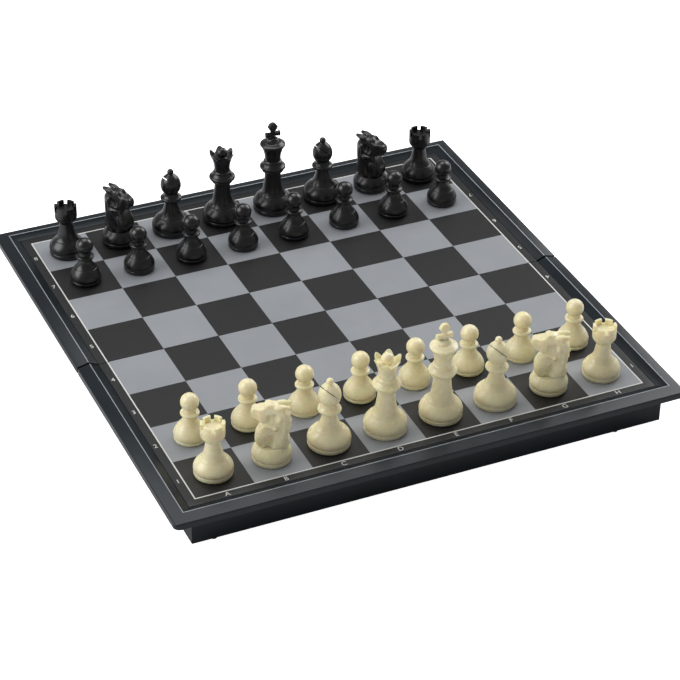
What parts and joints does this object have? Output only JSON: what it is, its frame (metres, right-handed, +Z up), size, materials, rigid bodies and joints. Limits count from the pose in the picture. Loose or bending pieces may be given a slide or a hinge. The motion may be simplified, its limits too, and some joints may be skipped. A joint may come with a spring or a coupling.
{
  "type": "folding magnetic travel chess set",
  "caption": "Folding magnetic plastic travel chess set: two hinged half boards with a printed field and raised rim, set up with turned ivory and black chessmen.",
  "frame": {"origin": "centre of the open board on the table, level with the ends of its feet", "axes": "+X along the ranks from file a to file h, +Y from the white side to the black side, +Z up"},
  "size_m": [0.32, 0.322, 0.0859],
  "materials": {
    "charcoal_plastic": "satin moulded plastic",
    "printed_panel": "printed plastic sheet, light and dark squares",
    "sheet_steel": "plain rolled sheet",
    "hinge_steel": "zinc plated",
    "ivory_plastic": "gloss moulded plastic",
    "black_plastic": "gloss moulded plastic"
  },
  "bodies": {
    "front_half": {"front_frame": "charcoal_plastic", "front_steel_sheet": "sheet_steel", "front_panel": "printed_panel", "left_hinge_front_leaf": "hinge_steel", "right_hinge_front_leaf": "hinge_steel", "left_hinge_pin": "hinge_steel", "right_hinge_pin": "hinge_steel", "front_hinge_rivets": "hinge_steel"},
    "rear_half": {"rear_frame": "charcoal_plastic", "rear_steel_sheet": "sheet_steel", "rear_panel": "printed_panel", "left_hinge_rear_leaf": "hinge_steel", "right_hinge_rear_leaf": "hinge_steel", "rear_hinge_rivets": "hinge_steel"},
    "white_rook_a1_body": {"white_rook_a1": "ivory_plastic"},
    "white_knight_b1_body": {"white_knight_b1": "ivory_plastic"},
    "white_bishop_c1_body": {"white_bishop_c1": "ivory_plastic"},
    "white_queen_d1_body": {"white_queen_d1": "ivory_plastic"},
    "white_king_e1_body": {"white_king_e1": "ivory_plastic"},
    "white_bishop_f1_body": {"white_bishop_f1": "ivory_plastic"},
    "white_knight_g1_body": {"white_knight_g1": "ivory_plastic"},
    "white_rook_h1_body": {"white_rook_h1": "ivory_plastic"},
    "white_pawn_a2_body": {"white_pawn_a2": "ivory_plastic"},
    "white_pawn_b2_body": {"white_pawn_b2": "ivory_plastic"},
    "white_pawn_c2_body": {"white_pawn_c2": "ivory_plastic"},
    "white_pawn_d2_body": {"white_pawn_d2": "ivory_plastic"},
    "white_pawn_e2_body": {"white_pawn_e2": "ivory_plastic"},
    "white_pawn_f2_body": {"white_pawn_f2": "ivory_plastic"},
    "white_pawn_g2_body": {"white_pawn_g2": "ivory_plastic"},
    "white_pawn_h2_body": {"white_pawn_h2": "ivory_plastic"},
    "black_rook_a8_body": {"black_rook_a8": "black_plastic"},
    "black_knight_b8_body": {"black_knight_b8": "black_plastic"},
    "black_bishop_c8_body": {"black_bishop_c8": "black_plastic"},
    "black_queen_d8_body": {"black_queen_d8": "black_plastic"},
    "black_king_e8_body": {"black_king_e8": "black_plastic"},
    "black_bishop_f8_body": {"black_bishop_f8": "black_plastic"},
    "black_knight_g8_body": {"black_knight_g8": "black_plastic"},
    "black_rook_h8_body": {"black_rook_h8": "black_plastic"},
    "black_pawn_a7_body": {"black_pawn_a7": "black_plastic"},
    "black_pawn_b7_body": {"black_pawn_b7": "black_plastic"},
    "black_pawn_c7_body": {"black_pawn_c7": "black_plastic"},
    "black_pawn_d7_body": {"black_pawn_d7": "black_plastic"},
    "black_pawn_e7_body": {"black_pawn_e7": "black_plastic"},
    "black_pawn_f7_body": {"black_pawn_f7": "black_plastic"},
    "black_pawn_g7_body": {"black_pawn_g7": "black_plastic"},
    "black_pawn_h7_body": {"black_pawn_h7": "black_plastic"}
  },
  "joints": [
    {"name": "board_fold", "type": "hinge", "parent": "front_half", "child": "rear_half", "pos_m": [0, 0, 0.00155], "axis": [-1, 0, 0], "range_deg": [0, 180]},
    {"name": "lift_white_rook_a1", "type": "slide", "parent": "front_half", "child": "white_rook_a1_body", "axis": [0, 0, 1], "range_m": [0, 0.08]},
    {"name": "lift_white_knight_b1", "type": "slide", "parent": "front_half", "child": "white_knight_b1_body", "axis": [0, 0, 1], "range_m": [0, 0.08]},
    {"name": "lift_white_bishop_c1", "type": "slide", "parent": "front_half", "child": "white_bishop_c1_body", "axis": [0, 0, 1], "range_m": [0, 0.08]},
    {"name": "lift_white_queen_d1", "type": "slide", "parent": "front_half", "child": "white_queen_d1_body", "axis": [0, 0, 1], "range_m": [0, 0.08]},
    {"name": "lift_white_king_e1", "type": "slide", "parent": "front_half", "child": "white_king_e1_body", "axis": [0, 0, 1], "range_m": [0, 0.08]},
    {"name": "lift_white_bishop_f1", "type": "slide", "parent": "front_half", "child": "white_bishop_f1_body", "axis": [0, 0, 1], "range_m": [0, 0.08]},
    {"name": "lift_white_knight_g1", "type": "slide", "parent": "front_half", "child": "white_knight_g1_body", "axis": [0, 0, 1], "range_m": [0, 0.08]},
    {"name": "lift_white_rook_h1", "type": "slide", "parent": "front_half", "child": "white_rook_h1_body", "axis": [0, 0, 1], "range_m": [0, 0.08]},
    {"name": "lift_white_pawn_a2", "type": "slide", "parent": "front_half", "child": "white_pawn_a2_body", "axis": [0, 0, 1], "range_m": [0, 0.08]},
    {"name": "lift_white_pawn_b2", "type": "slide", "parent": "front_half", "child": "white_pawn_b2_body", "axis": [0, 0, 1], "range_m": [0, 0.08]},
    {"name": "lift_white_pawn_c2", "type": "slide", "parent": "front_half", "child": "white_pawn_c2_body", "axis": [0, 0, 1], "range_m": [0, 0.08]},
    {"name": "lift_white_pawn_d2", "type": "slide", "parent": "front_half", "child": "white_pawn_d2_body", "axis": [0, 0, 1], "range_m": [0, 0.08]},
    {"name": "lift_white_pawn_e2", "type": "slide", "parent": "front_half", "child": "white_pawn_e2_body", "axis": [0, 0, 1], "range_m": [0, 0.08]},
    {"name": "lift_white_pawn_f2", "type": "slide", "parent": "front_half", "child": "white_pawn_f2_body", "axis": [0, 0, 1], "range_m": [0, 0.08]},
    {"name": "lift_white_pawn_g2", "type": "slide", "parent": "front_half", "child": "white_pawn_g2_body", "axis": [0, 0, 1], "range_m": [0, 0.08]},
    {"name": "lift_white_pawn_h2", "type": "slide", "parent": "front_half", "child": "white_pawn_h2_body", "axis": [0, 0, 1], "range_m": [0, 0.08]},
    {"name": "lift_black_rook_a8", "type": "slide", "parent": "rear_half", "child": "black_rook_a8_body", "axis": [0, 0, 1], "range_m": [0, 0.08]},
    {"name": "lift_black_knight_b8", "type": "slide", "parent": "rear_half", "child": "black_knight_b8_body", "axis": [0, 0, 1], "range_m": [0, 0.08]},
    {"name": "lift_black_bishop_c8", "type": "slide", "parent": "rear_half", "child": "black_bishop_c8_body", "axis": [0, 0, 1], "range_m": [0, 0.08]},
    {"name": "lift_black_queen_d8", "type": "slide", "parent": "rear_half", "child": "black_queen_d8_body", "axis": [0, 0, 1], "range_m": [0, 0.08]},
    {"name": "lift_black_king_e8", "type": "slide", "parent": "rear_half", "child": "black_king_e8_body", "axis": [0, 0, 1], "range_m": [0, 0.08]},
    {"name": "lift_black_bishop_f8", "type": "slide", "parent": "rear_half", "child": "black_bishop_f8_body", "axis": [0, 0, 1], "range_m": [0, 0.08]},
    {"name": "lift_black_knight_g8", "type": "slide", "parent": "rear_half", "child": "black_knight_g8_body", "axis": [0, 0, 1], "range_m": [0, 0.08]},
    {"name": "lift_black_rook_h8", "type": "slide", "parent": "rear_half", "child": "black_rook_h8_body", "axis": [0, 0, 1], "range_m": [0, 0.08]},
    {"name": "lift_black_pawn_a7", "type": "slide", "parent": "rear_half", "child": "black_pawn_a7_body", "axis": [0, 0, 1], "range_m": [0, 0.08]},
    {"name": "lift_black_pawn_b7", "type": "slide", "parent": "rear_half", "child": "black_pawn_b7_body", "axis": [0, 0, 1], "range_m": [0, 0.08]},
    {"name": "lift_black_pawn_c7", "type": "slide", "parent": "rear_half", "child": "black_pawn_c7_body", "axis": [0, 0, 1], "range_m": [0, 0.08]},
    {"name": "lift_black_pawn_d7", "type": "slide", "parent": "rear_half", "child": "black_pawn_d7_body", "axis": [0, 0, 1], "range_m": [0, 0.08]},
    {"name": "lift_black_pawn_e7", "type": "slide", "parent": "rear_half", "child": "black_pawn_e7_body", "axis": [0, 0, 1], "range_m": [0, 0.08]},
    {"name": "lift_black_pawn_f7", "type": "slide", "parent": "rear_half", "child": "black_pawn_f7_body", "axis": [0, 0, 1], "range_m": [0, 0.08]},
    {"name": "lift_black_pawn_g7", "type": "slide", "parent": "rear_half", "child": "black_pawn_g7_body", "axis": [0, 0, 1], "range_m": [0, 0.08]},
    {"name": "lift_black_pawn_h7", "type": "slide", "parent": "rear_half", "child": "black_pawn_h7_body", "axis": [0, 0, 1], "range_m": [0, 0.08]}
  ]
}
